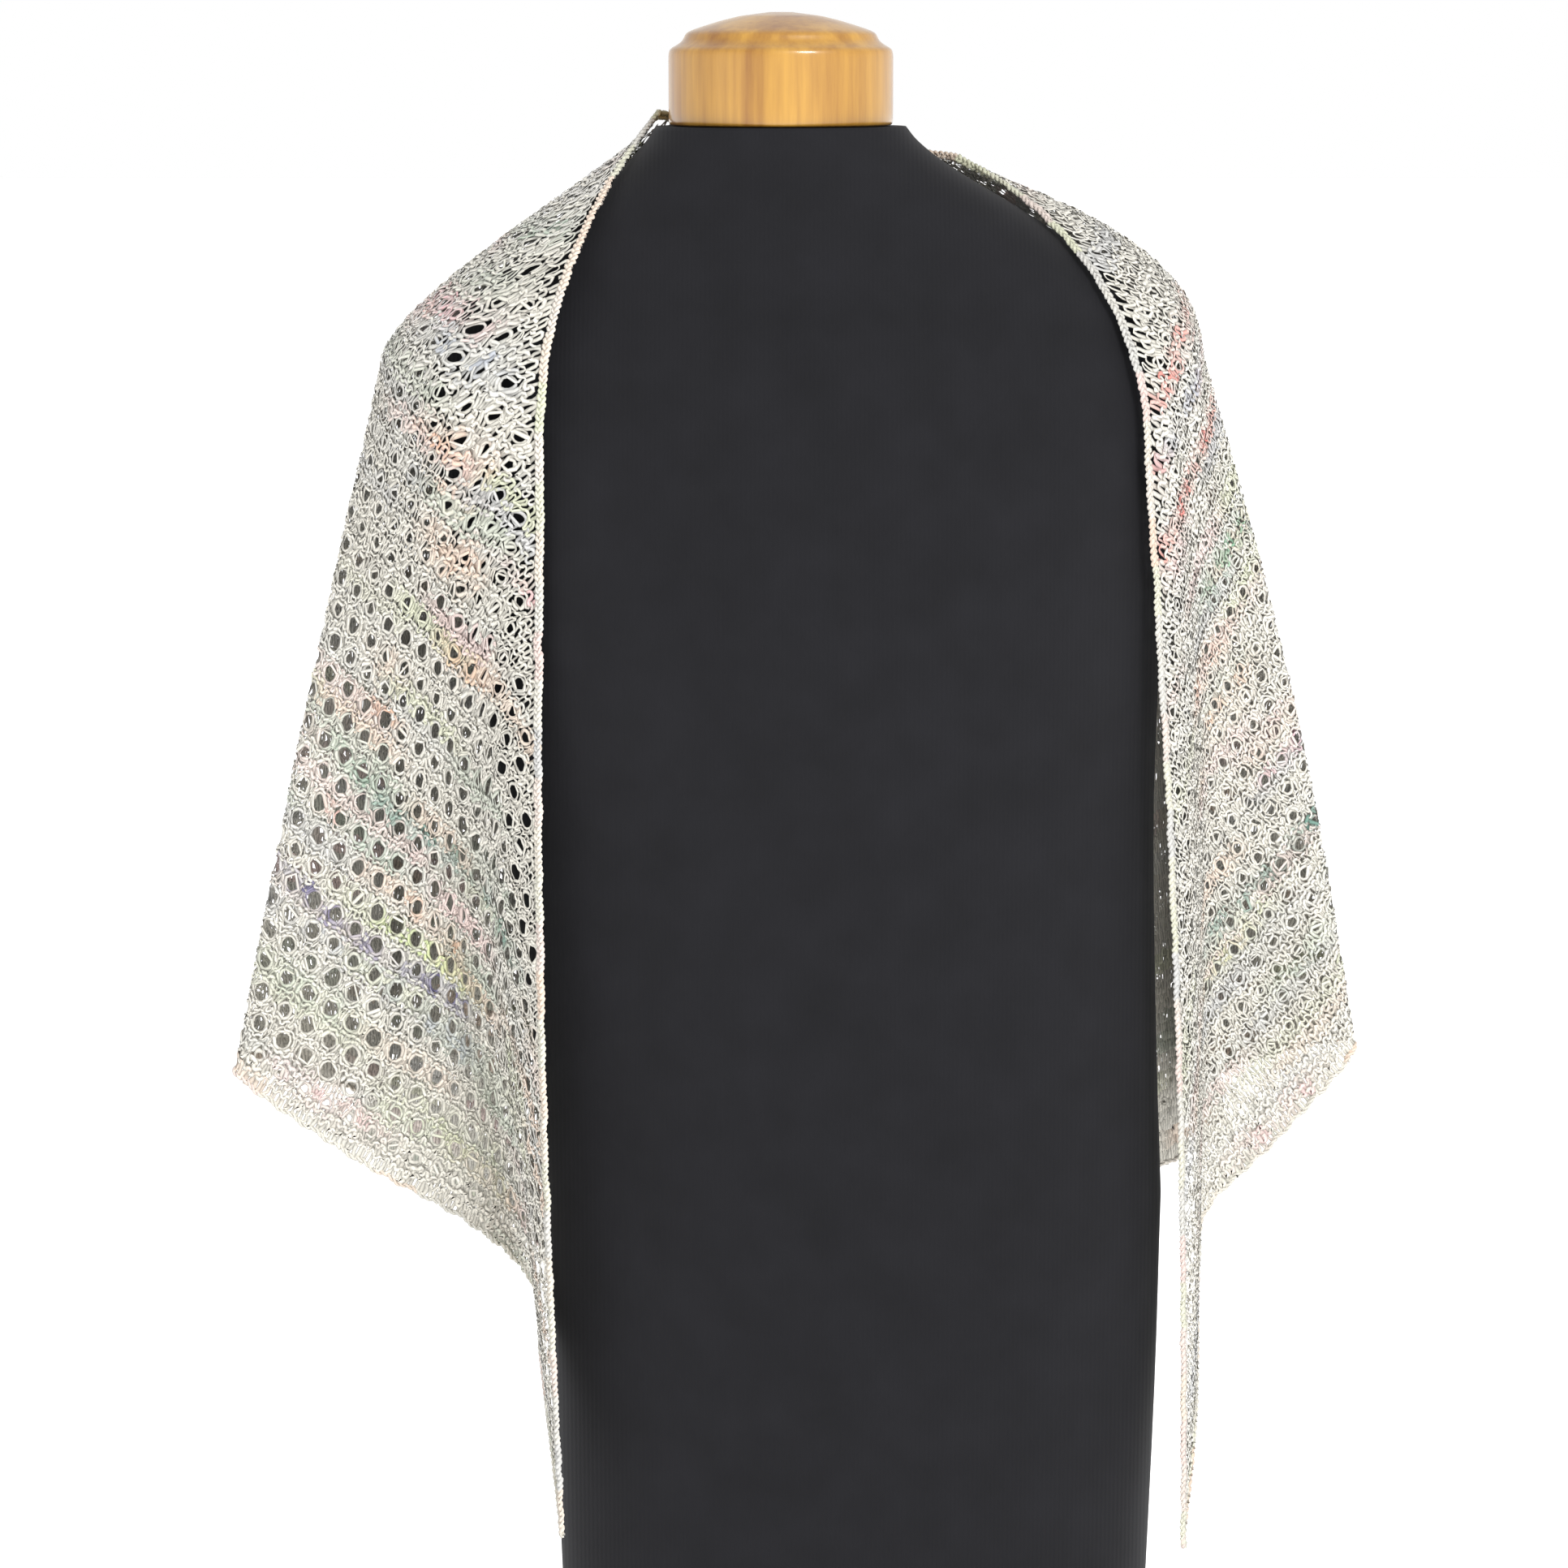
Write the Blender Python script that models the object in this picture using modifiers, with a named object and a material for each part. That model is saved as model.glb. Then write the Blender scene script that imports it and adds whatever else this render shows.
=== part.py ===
"""Triangular knitted lace shawl, worn open over the shoulders of a limbless dress form.

The form stands on a short turned column and a round base. The shawl is one knitted piece with a
chain edge along its neck and fronts and a cast-off edge along its hem. All tables are in
millimetres, seen from the front: x to the right, y away from the viewer, and drop downwards from
the lower rim of the wooden neck cap.
"""

import math

import bpy
import numpy as np

MM = 0.001
NAME = "lace_shawl_on_form"
NECK_HEIGHT = 880.0  # the cap's lower rim above the surface that the base stands on
GAP = 0.3
SEAM_GAP = 0.8  # beside the round edge cords, whose flats come this much nearer at a corner

CLOTH_THICKNESS = 2.4
NECK_EDGE_DIAMETER = 4.6
HEM_EDGE_DIAMETER = 3.0

# Neck line of the shawl: an arc behind the neck, wider and lower on the right than on the left.
NAPE_RADIUS = 65.0
NAPE_DROP = 2.0
NECK_LINE = {"left": {"radius": 61.0, "drop": -8.0}, "right": {"radius": 97.5, "drop": 14.6}}

# One row for each line that runs down the cloth from the neck, from a front edge to the nape.
# neck_turn: degrees round the neck from the front. turn_x, turn_y, turn_drop: where the cloth
# leaves the shoulder and hangs. lift: how far above that point it starts to bend over.
# hem_x, hem_y, hem_drop: its end on the hem. bow: how far it swells outwards half way down.
FOLD_COLUMNS = ("neck_turn", "turn_x", "turn_y", "turn_drop", "lift", "hem_x", "hem_y", "hem_drop", "bow")
LEFT_FOLDS = {
    "front_edge": (101, -114, -87, 146, 84, -109, -86, 697, 6),
    "front_strip": (107, -136, -78, 140, 66, -121, -38, 620, 9),
    "body_side": (113, -158, -66, 135, 54, -128, 22, 596, 10),
    "soft_fold": (119, -177, -46, 128, 44, -161, 14, 561, 6),
    "wing": (125, -193, -20, 122, 36, -222, 20, 527, 2),
    "outer_ridge": (131, -200, 7, 118, 30, -282, 31, 484, 2),
    "first_hollow": (139, -193, 38, 115, 31, -209, 66, 508, 0),
    "second_ridge": (147, -176, 62, 115, 30, -228, 120, 540, 0),
    "second_hollow": (155, -150, 80, 119, 34, -142, 106, 584, 0),
    "third_ridge": (163, -108, 93, 130, 45, -112, 158, 640, 0),
    "third_hollow": (171, -58, 99, 142, 60, -50, 120, 694, 0),
}
RIGHT_FOLDS = {
    "front_edge": (111, 178, -64, 160, 93, 203, -58, 712, 6),
    "front_strip": (117, 191, -44, 150, 90, 212, -18, 655, 5),
    "body_side": (122, 201, -22, 140, 88, 217, 34, 590, 4),
    "soft_fold": (127, 208, -2, 130, 79, 224, 54, 562, 3),
    "wing": (132, 211, 16, 122, 71, 262, 66, 527, 4),
    "outer_ridge": (137, 212, 33, 112, 62, 300, 72, 478, 8),
    "first_hollow": (144, 201, 56, 113, 53, 223, 100, 505, 2),
    "second_ridge": (151, 181, 74, 113, 49, 237, 152, 545, 0),
    "second_hollow": (158, 151, 87, 118, 47, 142, 118, 588, 0),
    "third_ridge": (165, 108, 95, 129, 52, 110, 165, 645, 0),
    "third_hollow": (172, 56, 100, 142, 62, 48, 124, 696, 0),
}
CENTRE_BACK = (180, 0, 102, 152, 82, 2, 142, 745, 0)
STEPS_PER_FOLD = 5
SHOULDER_STEPS = 6
HANG_STEPS = 10

# Dress form: one row for each level ring, from the neck down.
FORM_COLUMNS = ("drop", "half_width", "half_depth", "centre_y")
FORM_RINGS = (
    (0, 62, 57, 0),
    (8, 68, 57, 1),
    (20, 81, 59, 3),
    (33, 98, 63, 4),
    (47, 118, 68, 6),
    (60, 136, 73, 7),
    (73, 152, 78, 8),
    (86, 167, 82, 8),
    (100, 178, 87, 6),
    (120, 186, 92, 3),
    (150, 187, 96, -1),
    (190, 180, 99, -5),
    (250, 173, 103, -6),
    (340, 164, 98, -5),
    (440, 159, 96, -4),
    (540, 156, 97, -3),
    (640, 154, 96, -2),
    (780, 149, 91, 0),
)
FORM_LEAN = math.radians(4.0)  # the body stands a little to the right below the neck
LEAN_RUN = 540.0  # below this drop the body stands upright again
SHOULDER_SLANT = math.radians(2.5)  # and its right shoulder is the higher one
FORM_ROUNDNESS = 2.3  # exponent of the rings, where 2 is an ellipse
FORM_POINTS = 40
NECK_LEVEL_RUN = 45.0  # the shoulders reach their full slant this far down

# Turned wood: radius and height of each profile point, from the top down.
CAP_RADIUS = 55.6
CAP_PROFILE = (
    (0, 56), (10, 55.5), (20, 54), (29, 51.8), (37, 49.4), (43, 47.4), (45.8, 46.2),  # shallow dome
    (47.2, 45), (48, 43.2), (48.8, 41.8), (51, 40), (54, 38.4),  # step and hollow shoulder
    (55.2, 37), (CAP_RADIUS, 34.5), (CAP_RADIUS, GAP), (0, GAP),  # upright side
)
COLUMN_RADIUS = 19.0
BASE_RADIUS = 125.0
BASE_HEIGHT = 26.0
TURNED_STEPS = 40

COLOURS = {
    "knitted_wool": ((0.72, 0.70, 0.64), 0.85),
    "chain_edge": ((0.78, 0.76, 0.70), 0.8),
    "cast_off_edge": ((0.74, 0.68, 0.62), 0.85),
    "black_jersey": ((0.012, 0.012, 0.015), 0.6),
    "varnished_maple": ((0.66, 0.40, 0.13), 0.3),
}


def make_material(name):
    """A plain Principled material in the named colour."""
    material = bpy.data.materials.get(name) or bpy.data.materials.new(name)
    material.use_nodes = True
    colour, roughness = COLOURS[name]
    shader = material.node_tree.nodes["Principled BSDF"]
    shader.inputs["Base Color"].default_value = (*colour, 1)
    shader.inputs["Roughness"].default_value = roughness
    shader.inputs["Metallic"].default_value = 0
    material.diffuse_color = (*colour, 1)
    return material


def add_object(name, data, material, collection, parent):
    """Links a mesh or curve as one named piece under the stand point."""
    piece = bpy.data.objects.new(name, data)
    data.materials.append(make_material(material))
    collection.objects.link(piece)
    piece.parent = parent
    return piece


def grid_faces(rows, columns, wrap=False):
    """Quads between neighbouring points of a grid that is stored row by row."""
    r, c = np.meshgrid(np.arange(rows - 1), np.arange(columns - (not wrap)), indexing="ij")
    beside = (c + 1) % columns
    corners = (r * columns + c, r * columns + beside, (r + 1) * columns + beside, (r + 1) * columns + c)
    return np.stack(corners, axis=-1).reshape(-1, 4)


def mesh_from(name, points_mm, faces):
    """A smooth mesh from points in millimetres, with y away from the viewer and z upwards."""
    mesh = bpy.data.meshes.new(name)
    mesh.from_pydata((points_mm.reshape(-1, 3) * MM).tolist(), [], [list(map(int, f)) for f in faces])
    mesh.shade_smooth()
    return mesh


def smooth_through(values, steps):
    """Catmull-Rom curve through the rows of values, with the same number of steps in each gap."""
    ends = np.concatenate([2 * values[:1] - values[1:2], values, 2 * values[-1:] - values[-2:-1]])
    t = np.tile(np.arange(steps) / steps, len(values) - 1)[:, None]
    k = np.repeat(np.arange(len(values) - 1), steps)
    a, b, c, d = (ends[k + i] for i in range(4))
    curve = 0.5 * (2 * b + (c - a) * t + (2 * a - 5 * b + 4 * c - d) * t**2 + (3 * b - a - 3 * c + d) * t**3)
    return np.concatenate([curve, values[-1:]])


def neck_point(side, turn):
    """A point of the neck line: an arc whose radius and drop change from the nape to the front."""
    sign = -1.0 if side == "left" else 1.0
    folds = LEFT_FOLDS if side == "left" else RIGHT_FOLDS
    forward = (180.0 - turn) / (180.0 - folds["front_edge"][0])
    radius = NAPE_RADIUS + (NECK_LINE[side]["radius"] - NAPE_RADIUS) * forward**2
    drop = NAPE_DROP + (NECK_LINE[side]["drop"] - NAPE_DROP) * forward
    angle = math.radians(turn)
    return (sign * radius * math.sin(angle), -radius * math.cos(angle), drop)


def fold_rows():
    """Every fold line in order from the left front edge round the back to the right front edge."""
    left = [("left", row) for row in LEFT_FOLDS.values()]
    right = [("right", row) for row in reversed(RIGHT_FOLDS.values())]
    rows = []
    for side, row in [*left, ("left", CENTRE_BACK), *right]:
        fold = dict(zip(FOLD_COLUMNS, row))
        neck = neck_point(side, fold["neck_turn"])
        turn = (fold["turn_x"], fold["turn_y"], fold["turn_drop"])
        hem = (fold["hem_x"], fold["hem_y"], fold["hem_drop"])
        rows.append((*neck, *turn, fold["lift"], *hem, fold["bow"]))
    return np.array(rows, float)


def cloth_points():
    """The middle surface of the cloth: fold lines across, stations down, three coordinates.

    Each line bends over the shoulder on a quadratic arc whose middle control point lies lift above
    the turning point, and then falls straight to the hem, swelling by bow on half a sine wave.
    """
    lines = smooth_through(fold_rows(), STEPS_PER_FOLD)
    neck, turn, hem = lines[:, None, 0:3], lines[:, None, 3:6], lines[:, None, 7:10]
    lift, bow = lines[:, None, 6:7], lines[:, None, 10:11]
    crown = turn - lift * np.array([0.0, 0.0, 1.0])
    t = (np.arange(SHOULDER_STEPS) / SHOULDER_STEPS)[None, :, None]
    over = (1 - t) ** 2 * neck + 2 * t * (1 - t) * crown + t**2 * turn
    f = (np.arange(HANG_STEPS + 1) / HANG_STEPS)[None, :, None]
    outward = turn * np.array([1.0, 1.0, 0.0])
    outward = outward / np.linalg.norm(outward, axis=2, keepdims=True)
    down = turn + (hem - turn) * f + outward * bow * np.sin(math.pi * f)
    points = np.concatenate([over, down], axis=1)
    points[..., 2] = NECK_HEIGHT - points[..., 2]
    return points


def edge_widening(points, end):
    """How much longer a step along each line is than its reach from the edge at that end."""
    edge = np.gradient(points[:, end], axis=0)
    line = points[:, end] - points[:, end - 1 if end else 1]
    cross = np.linalg.norm(np.cross(edge, line), axis=1)
    return np.linalg.norm(edge, axis=1) * np.linalg.norm(line, axis=1) / cross


def drawn_in(points, start, end):
    """Each line of points shortened so that its ends lie start and end in from the two edges."""
    steps = np.linalg.norm(np.diff(points, axis=1), axis=2)
    along = np.concatenate([np.zeros((len(points), 1)), np.cumsum(steps, axis=1)], axis=1)
    first = start * edge_widening(points, 0)
    last = end * edge_widening(points, -1)
    out = np.empty_like(points)
    for line, length in enumerate(along[:, -1]):
        wanted = first[line] + (length - first[line] - last[line]) * along[line] / length
        for axis in range(3):
            out[line, :, axis] = np.interp(wanted, along[line], points[line, :, axis])
    return out


def build_shawl(collection, parent):
    """The knitted cloth as an open surface with a wall, and its two edges as cords beside it."""
    surface = cloth_points()
    neck_inset = NECK_EDGE_DIAMETER + SEAM_GAP
    hem_inset = HEM_EDGE_DIAMETER + 2 * SEAM_GAP
    cloth = drawn_in(surface, neck_inset, hem_inset)
    cloth = drawn_in(cloth.swapaxes(0, 1), neck_inset, neck_inset).swapaxes(0, 1)
    faces = grid_faces(cloth.shape[0], cloth.shape[1])
    shawl = add_object("shawl_lace", mesh_from("shawl_lace", cloth, faces), "knitted_wool", collection, parent)
    wall = shawl.modifiers.new("wall", "SOLIDIFY")
    wall.thickness = CLOTH_THICKNESS * MM
    wall.offset = 0.0

    # The chain edge runs up the left front, round the neck and down the right front.
    half = NECK_EDGE_DIAMETER / 2
    inner = drawn_in(surface, half, half)
    inner = drawn_in(inner.swapaxes(0, 1), half, half).swapaxes(0, 1)
    neck_path = np.concatenate([inner[0, :0:-1], inner[1:-1, 0], inner[-1, 1:]])
    add_edge("neck_edge", neck_path, NECK_EDGE_DIAMETER, "chain_edge", collection, parent)

    # The cast-off edge follows the hem, and stops beside the chain edge at each front.
    half = HEM_EDGE_DIAMETER / 2
    stop = NECK_EDGE_DIAMETER + 2 * HEM_EDGE_DIAMETER
    hem = drawn_in(surface, half, half).swapaxes(0, 1)
    hem = drawn_in(hem, stop, stop).swapaxes(0, 1)
    add_edge("hem_edge", hem[:, -1], HEM_EDGE_DIAMETER, "cast_off_edge", collection, parent)


def add_edge(name, path, diameter, material, collection, parent):
    """A round cord along a path, as a curve with a bevel and filled ends."""
    curve = bpy.data.curves.new(name, "CURVE")
    curve.dimensions = "3D"
    curve.bevel_depth = diameter / 2 * MM
    curve.bevel_resolution = 1
    curve.use_fill_caps = True
    spline = curve.splines.new("POLY")
    spline.points.add(len(path) - 1)
    spline.points.foreach_set("co", np.column_stack([path * MM, np.ones(len(path))]).ravel())
    return add_object(name, curve, material, collection, parent)


def form_shift(drop):
    """How far the middle of the body stands to the right at a drop below the neck."""
    return np.minimum(drop, LEAN_RUN) * math.tan(FORM_LEAN)


def form_points():
    """Level rings of the body: superellipses whose middle moves with the lean and which slant."""
    rings = np.array(FORM_RINGS, float)
    drop, half_width, half_depth, centre_y = (rings[:, i, None] for i in range(len(FORM_COLUMNS)))
    angle = np.arange(FORM_POINTS) * 2 * math.pi / FORM_POINTS
    power = 2.0 / FORM_ROUNDNESS
    x = half_width * np.sign(np.cos(angle)) * np.abs(np.cos(angle)) ** power
    y = half_depth * np.sign(np.sin(angle)) * np.abs(np.sin(angle)) ** power + centre_y
    ramp = np.clip(drop / NECK_LEVEL_RUN, 0, 1)
    slant = math.tan(SHOULDER_SLANT) * ramp**2 * (3 - 2 * ramp) * (1 - drop / drop.max())
    z = NECK_HEIGHT - drop + x * slant
    return np.stack([x + form_shift(drop), y, z], axis=-1)


def build_form(collection, parent):
    """The limbless body as a loft of rings, closed at the neck and at its flat lower end."""
    points = form_points()
    rows, columns = points.shape[:2]
    faces = [face[::-1] for face in grid_faces(rows, columns, wrap=True)]
    faces.append(np.arange(columns))
    faces.append(((rows - 1) * columns + np.arange(columns))[::-1])
    mesh = mesh_from("form_body", points, faces)
    add_object("form_body", mesh, "black_jersey", collection, parent)


def turned(name, profile, location, collection, parent):
    """A turned wooden piece: its profile from the top down, spun round the vertical axis."""
    points = np.array([(radius, 0.0, height) for radius, height in profile])
    edges = [(i, i + 1) for i in range(len(points) - 1)]
    mesh = bpy.data.meshes.new(name)
    mesh.from_pydata((points * MM).tolist(), edges, [])
    piece = add_object(name, mesh, "varnished_maple", collection, parent)
    piece.location = [value * MM for value in location]
    spin = piece.modifiers.new("turned", "SCREW")
    spin.steps = TURNED_STEPS
    spin.render_steps = TURNED_STEPS
    spin.use_merge_vertices = True
    spin.merge_threshold = 0.0001
    spin.use_smooth_shade = True


def build_wood(collection, parent):
    """The neck cap, and the column and base that carry the body."""
    turned("neck_cap", CAP_PROFILE, (0, 0, NECK_HEIGHT), collection, parent)
    body_drop = FORM_RINGS[-1][0]
    foot_x = float(form_shift(body_drop))
    column_top = NECK_HEIGHT - body_drop - GAP
    column_foot = BASE_HEIGHT + GAP
    flare = COLUMN_RADIUS * 1.5
    column = ((0, column_top), (flare, column_top), (flare, column_top - 8), (COLUMN_RADIUS, column_top - 18),
              (COLUMN_RADIUS, column_foot + 18), (flare, column_foot + 8), (flare, column_foot), (0, column_foot))
    turned("stand_column", column, (foot_x, 0, 0), collection, parent)
    base = ((0, BASE_HEIGHT), (BASE_RADIUS * 0.5, BASE_HEIGHT), (BASE_RADIUS - 16, BASE_HEIGHT - 3),
            (BASE_RADIUS - 5, BASE_HEIGHT - 8), (BASE_RADIUS, BASE_HEIGHT - 15), (BASE_RADIUS, 3),
            (BASE_RADIUS - 3, 0), (0, 0))
    turned("stand_base", base, (foot_x, 0, 0), collection, parent)


def main():
    for old in list(bpy.data.objects):
        bpy.data.objects.remove(old, do_unlink=True)
    collection = bpy.data.collections.new(NAME)
    bpy.context.scene.collection.children.link(collection)

    # The stand point moves the neck's axis so that the whole part is centred over its origin.
    cloth = cloth_points().reshape(-1, 3)
    body = form_points().reshape(-1, 3)
    lowest = np.minimum(cloth.min(axis=0), body.min(axis=0))
    highest = np.maximum(cloth.max(axis=0), body.max(axis=0))
    lowest[1] = min(lowest[1], -BASE_RADIUS)
    stand_point = bpy.data.objects.new("stand_point", None)
    stand_point.location = (-(lowest[0] + highest[0]) / 2 * MM, -(lowest[1] + highest[1]) / 2 * MM, 0)
    collection.objects.link(stand_point)

    build_shawl(collection, stand_point)
    build_form(collection, stand_point)
    build_wood(collection, stand_point)


main()
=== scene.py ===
import math

import bpy
import numpy as np
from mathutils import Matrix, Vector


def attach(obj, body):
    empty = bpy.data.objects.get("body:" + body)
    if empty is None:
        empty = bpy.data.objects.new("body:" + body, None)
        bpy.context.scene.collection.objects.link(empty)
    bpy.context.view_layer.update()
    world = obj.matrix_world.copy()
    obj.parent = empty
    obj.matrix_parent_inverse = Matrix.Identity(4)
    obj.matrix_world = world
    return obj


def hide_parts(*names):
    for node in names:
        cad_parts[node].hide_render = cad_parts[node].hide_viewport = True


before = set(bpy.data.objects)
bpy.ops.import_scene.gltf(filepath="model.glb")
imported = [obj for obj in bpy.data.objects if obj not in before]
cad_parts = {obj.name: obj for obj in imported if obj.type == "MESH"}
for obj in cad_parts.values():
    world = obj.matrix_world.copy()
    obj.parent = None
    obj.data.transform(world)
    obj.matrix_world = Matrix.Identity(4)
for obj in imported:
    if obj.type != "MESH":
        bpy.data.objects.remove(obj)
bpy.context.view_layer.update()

# Every table is in millimetres in the neck frame: x right, y away from the viewer, and drop
# downwards from the lower rim of the wooden neck cap.
MM = 0.001
LEAST_LENGTH = 1e-9
NECK_HEIGHT = 880.0
STAND_SHIFT = (-9.0, -20.0, 0.0)  # from the neck's axis to the part's own origin

# Camera: a long lens a little above the shoulders, looking slightly down.
CAMERA_PLACE = (-0.00743, -2.49189, 0.92435)
CAMERA_AIM = (-0.00743, -0.020, 0.55051)
LENS_MM = 113.62
SENSOR_MM = 36.0

# Neck line of the shawl: an arc behind the neck, wider and lower on the right than on the left.
NAPE_RADIUS = 65.0
NAPE_DROP = 2.0
NECK_LINE = {"left": {"radius": 61.0, "drop": -8.0}, "right": {"radius": 97.5, "drop": 14.6}}

# One row for each line that runs down the cloth from the neck, from a front edge to the nape.
FOLD_COLUMNS = ("neck_turn", "turn_x", "turn_y", "turn_drop", "lift", "hem_x", "hem_y", "hem_drop", "bow")
LEFT_FOLDS = {
    "front_edge": (101, -114, -87, 146, 84, -109, -86, 697, 6),
    "front_strip": (107, -136, -78, 140, 66, -121, -38, 620, 9),
    "body_side": (113, -158, -66, 135, 54, -128, 22, 596, 10),
    "soft_fold": (119, -177, -46, 128, 44, -161, 14, 561, 6),
    "wing": (125, -193, -20, 122, 36, -222, 20, 527, 2),
    "outer_ridge": (131, -200, 7, 118, 30, -282, 31, 484, 2),
    "first_hollow": (139, -193, 38, 115, 31, -209, 66, 508, 0),
    "second_ridge": (147, -176, 62, 115, 30, -228, 120, 540, 0),
    "second_hollow": (155, -150, 80, 119, 34, -142, 106, 584, 0),
    "third_ridge": (163, -108, 93, 130, 45, -112, 158, 640, 0),
    "third_hollow": (171, -58, 99, 142, 60, -50, 120, 694, 0),
}
RIGHT_FOLDS = {
    "front_edge": (111, 178, -64, 160, 93, 203, -58, 712, 6),
    "front_strip": (117, 191, -44, 150, 90, 212, -18, 655, 5),
    "body_side": (122, 201, -22, 140, 88, 217, 34, 590, 4),
    "soft_fold": (127, 208, -2, 130, 79, 224, 54, 562, 3),
    "wing": (132, 211, 16, 122, 71, 262, 66, 527, 4),
    "outer_ridge": (137, 212, 33, 112, 62, 300, 72, 478, 8),
    "first_hollow": (144, 201, 56, 113, 53, 223, 100, 505, 2),
    "second_ridge": (151, 181, 74, 113, 49, 237, 152, 545, 0),
    "second_hollow": (158, 151, 87, 118, 47, 142, 118, 588, 0),
    "third_ridge": (165, 108, 95, 129, 52, 110, 165, 645, 0),
    "third_hollow": (172, 56, 100, 142, 62, 48, 124, 696, 0),
}
CENTRE_BACK = (180, 0, 102, 152, 82, 2, 142, 745, 0)
RIDGE_FOLD = 5  # the outer ridge's place in each table
FOLD_STEPS = 16
SHOULDER_STEPS = 24
HANG_STEPS = 60
DOWN_STEPS = 120

# The knit. Rows run along the hem, so that they meet in a V down the centre back.
STITCH_WIDTH = 4.83
ROW_PITCH = 4.77
ROWS_PER_EYELET = 3
STITCHES_PER_EYELET = 3
POINTS_PER_STITCH = 11
FIRST_ROW_AT = 0.55  # of a row's pitch above the cast-off edge
LOOP_SWAY = 0.50  # how far a loop's legs lean in under its head
LOOP_REACH = 3.7  # how far its head and foot reach past the middle of the row
LOOP_RISE = 0.55  # how far its legs lie over the next row
# How the yarn strays from even loops: how far, the length of one change, and its own seed.
LOOP_STRAY = {
    "reach": (0.26, 3.7, 11.0), "along": (0.8, 6.3, 51.0), "above": (0.8, 8.9, 91.0), "height": (0.35, 4.1, 131.0),
    "kink_along": (0.6, 0.8, 171.0), "kink_above": (0.6, 0.8, 211.0),
}
YARN_RADIUS = 0.77
SLUBS = (0.34, 7.3)  # the share by which the yarn thickens and thins, and the length of one change
LUMPS = (0.26, 1.7)
STRETCH_STEP = 2.0
STRETCH_RANGE = (0.9, 1.4)
HEM_FIRMNESS = 0.42  # how much fuller the yarn lies at the cast-off edge
HEM_FIRM_TO = {"left": 17.0, "right": 24.0}  # above the hem: halfway out of that fuller band
PAINTED_LEG_SHADE = (0.78, 0.34)  # painted shade on yarn that lies under: the lowest yarn's brightness, and what the highest has more
LEG_SHADE_HEIGHT = 0.9  # that far under and over the middle surface
CELL_HIGH = ROWS_PER_EYELET * ROW_PITCH
CELL_WIDE = STITCHES_PER_EYELET * STITCH_WIDTH
RING_STEPS = 12
RING_MARGIN = 0.3  # the ring of yarn round an eyelet: how far outside it
RING_STRAY = 0.45
RING_TALLER = 1.08
MOST_EYELET_LINES = 60
EYELET_RADIUS = 4.3
EYELET_VARIETY = (0.8, 0.32)  # the smallest eyelet's share of that radius, and what the largest has more
EYELET_REACH = 7.3  # loops within this distance of a centre make room
EYELET_PARTING = 2.2  # how far the rows part above and below an eyelet's centre
PARTING_REACH = (7.0, 7.6)  # how far from it they do, along and above
EYELET_LOWERED = 1.45  # rows that the centres lie below the middle of their cells
EYELET_JITTER = (1.2, 1.0)
EYELET_SIZE = {"left": 1.0, "right": 0.72}
FIRST_LINE_SIZE = 0.6
UPPER_NARROWING = (0.34, 190.0, 120.0)  # share lost, from this height, over this much more
RIGHT_PLAIN = ((25.0, 0.45), (80.0, 1.0))  # above the hem on the right, and the share of an eyelet's size
BEHIND_SIZE = ((0.0, 1.0), (25.0, 0.42), (300.0, 0.42), (380.0, 0.85))  # the same past the outer ridge
EDGE_CLEARANCE = 14.0  # no eyelet lies nearer to the long edge, nor to the spine
SPINE_CLEARANCE = 7.0
CENTRE_DEPTH = 760.0  # the cut's depth, from the neck to the tip at the centre back
# Flat hem for each length of hem in front, from the front edge to the outer ridge, one number for
# each gap between the fold lines. The rest is taken up behind.
FRONT_EASE = {"left": (0.95, 1.15, 1.5, 1.1, 0.98), "right": (0.95, 1.05, 1.2, 1.1, 0.98)}

# Edges.
CHAIN_WIDTH = 4.6
CHAIN_LINK = 6.2
CHAIN_YARN = 0.92
PLAIT_WIDTH = 1.55
PLAIT_HEIGHT = 0.75
CAST_OFF_WIDTH = 3.0
CAST_OFF_TWIST = 7.25
CAST_OFF_YARN = 0.74
TWIST_RADIUS = 0.72
SCALLOP = (0.8, 14.5)  # how far the cast-off edge swings in and out, and the length of one swing

# Dress form: one row for each level ring, from the neck down.
FORM_RINGS = (
    (0, 62, 57, 0), (8, 68, 57, 1), (20, 81, 59, 3), (33, 98, 63, 4), (47, 118, 68, 6), (60, 136, 73, 7),
    (73, 152, 78, 8), (86, 167, 82, 8), (100, 178, 87, 6), (120, 186, 92, 3), (150, 187, 96, -1),
    (190, 180, 99, -5), (250, 173, 103, -6), (340, 164, 98, -5), (440, 159, 96, -4), (540, 156, 97, -3),
    (640, 154, 96, -2), (780, 149, 91, 0),
)
FORM_LEAN = math.radians(4.0)
LEAN_RUN = 540.0
SHOULDER_SLANT = math.radians(2.5)
FORM_ROUNDNESS = 2.3
NECK_LEVEL_RUN = 45.0
GAP = 0.3


def linear(hex_colour, alpha=1.0):
    """An sRGB hex colour as linear numbers: c/12.92 under 0.04045, else ((c+0.055)/1.055)^2.4."""
    parts = np.array([int(hex_colour[i:i + 2], 16) for i in (1, 3, 5)]) / 255.0
    curve = np.where(parts <= 0.04045, parts / 12.92, ((parts + 0.055) / 1.055) ** 2.4)
    return (*curve.tolist(), alpha)


def add_node(tree, kind, settings=None, links=None):
    """Adds one node, sets its properties or sockets by name, and links its sockets from others."""
    return set_node(tree, tree.nodes.new("ShaderNode" + kind), settings, links)


def set_node(tree, node, settings=None, links=None):
    """Sets a node's properties or sockets by name, and links its sockets from others."""
    for name, value in (settings or {}).items():
        if isinstance(name, int) or name in node.inputs:
            node.inputs[name].default_value = value
        else:
            setattr(node, name, value)
    for name, source in (links or {}).items():
        tree.links.new(source, node.inputs[name])
    return node


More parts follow.
